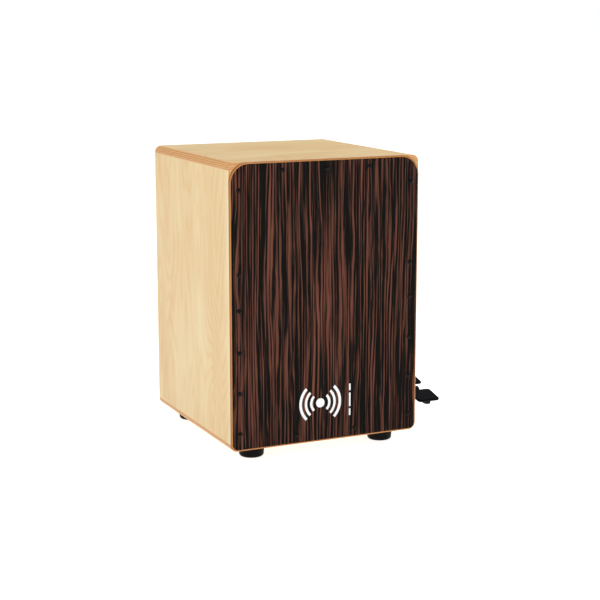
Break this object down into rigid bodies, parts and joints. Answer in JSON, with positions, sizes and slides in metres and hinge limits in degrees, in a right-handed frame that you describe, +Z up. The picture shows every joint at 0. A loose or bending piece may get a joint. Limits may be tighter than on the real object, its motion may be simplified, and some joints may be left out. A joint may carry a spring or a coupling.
{
  "type": "cajon",
  "caption": "Box drum with a dark striped playing face, rubber feet, a rear sound port and a side rocker pedal that lifts its inner snare wires.",
  "frame": {"origin": "on the floor under the centre of the bounding box; the box body's own centre is 50.25 mm towards -X of it, because the pedal stands out on +X", "axes": "+X towards the pedal side, +Y from the playing face to the back, +Z up"},
  "size_m": [0.4506, 0.3556, 0.503],
  "materials": {
    "birch_panel": "satin",
    "birch_ply_back": "satin",
    "front_ply": "satin",
    "dark_veneer": "satin",
    "batten_wood": "matte",
    "bar_wood": "satin",
    "white_print": "satin",
    "black_rubber": "matte",
    "pad_rubber": "matte",
    "black_steel": "gloss",
    "black_screw": "satin",
    "zinc_steel": "satin",
    "snare_steel": "satin",
    "bronze": "satin",
    "nylon": "matte"
  },
  "bodies": {
    "cabinet": {"side_panel_left": "birch_panel", "side_panel_right": "birch_panel", "top_panel": "birch_panel", "bottom_panel": "birch_panel", "back_panel": "birch_ply_back", "front_plate": "front_ply", "ebony_veneer": "dark_veneer", "front_emblem": "white_print", "front_batten_left": "batten_wood", "front_batten_right": "batten_wood", "front_batten_top": "batten_wood", "front_batten_bottom": "batten_wood", "front_plate_screws": "black_screw", "foot_front_left": "black_rubber", "foot_front_right": "black_rubber", "foot_rear_left": "black_rubber", "foot_rear_right": "black_rubber", "foot_washers": "zinc_steel", "foot_screws": "zinc_steel", "pedal_sleeve": "black_steel", "sleeve_bush_inner": "bronze", "sleeve_bush_outer": "bronze", "sleeve_lock_ring": "zinc_steel", "flange_screws": "black_screw", "pivot_block_left": "bar_wood", "pivot_block_right": "bar_wood", "pivot_block_screws": "zinc_steel"},
    "pedal": {"pedal_arm": "black_steel", "pedal_shaft": "zinc_steel", "shaft_washers": "nylon", "pedal_clamp_screw": "black_screw", "pedal_tread_front": "black_steel", "pedal_tread_rear": "black_steel", "pedal_pad_front": "pad_rubber", "pedal_pad_rear": "pad_rubber", "pedal_bolts": "zinc_steel", "pedal_dome_nuts": "black_screw", "pedal_tread_pins": "zinc_steel", "crank_arm": "zinc_steel", "crank_set_screw": "black_screw", "crank_pin": "zinc_steel"},
    "rod": {"push_rod": "zinc_steel", "rod_end_lower": "black_steel", "rod_end_upper": "black_steel", "rod_lock_nuts": "zinc_steel"},
    "snare": {"snare_bar": "bar_wood", "snare_bar_pins": "zinc_steel", "snare_bar_washers": "nylon", "snare_lever": "zinc_steel", "lever_pin": "zinc_steel", "snare_wires_left": "snare_steel", "snare_wires_right": "snare_steel", "snare_clamp_strips": "bronze", "snare_screws": "zinc_steel"}
  },
  "joints": [
    {"name": "pedal_rock", "type": "hinge", "parent": "cabinet", "child": "pedal", "pos_m": [0.20275, -0.03375, 0.0475], "axis": [-1, 0, 0], "range_deg": [0, 26.6]},
    {"name": "rod_swing", "type": "hinge", "parent": "pedal", "child": "rod", "pos_m": [0.08025, -0.00875, 0.06409], "axis": [-1, 0, 0], "range_deg": [-26.6, 0]},
    {"name": "snare_tilt", "type": "hinge", "parent": "cabinet", "child": "snare", "pos_m": [-0.05025, -0.13915, 0.333], "axis": [-1, 0, 0], "range_deg": [0, 26.6]}
  ],
  "couplings": [
    {"joint": "rod_swing", "follows": "pedal_rock", "ratio": -1},
    {"joint": "snare_tilt", "follows": "pedal_rock", "ratio": 1}
  ]
}
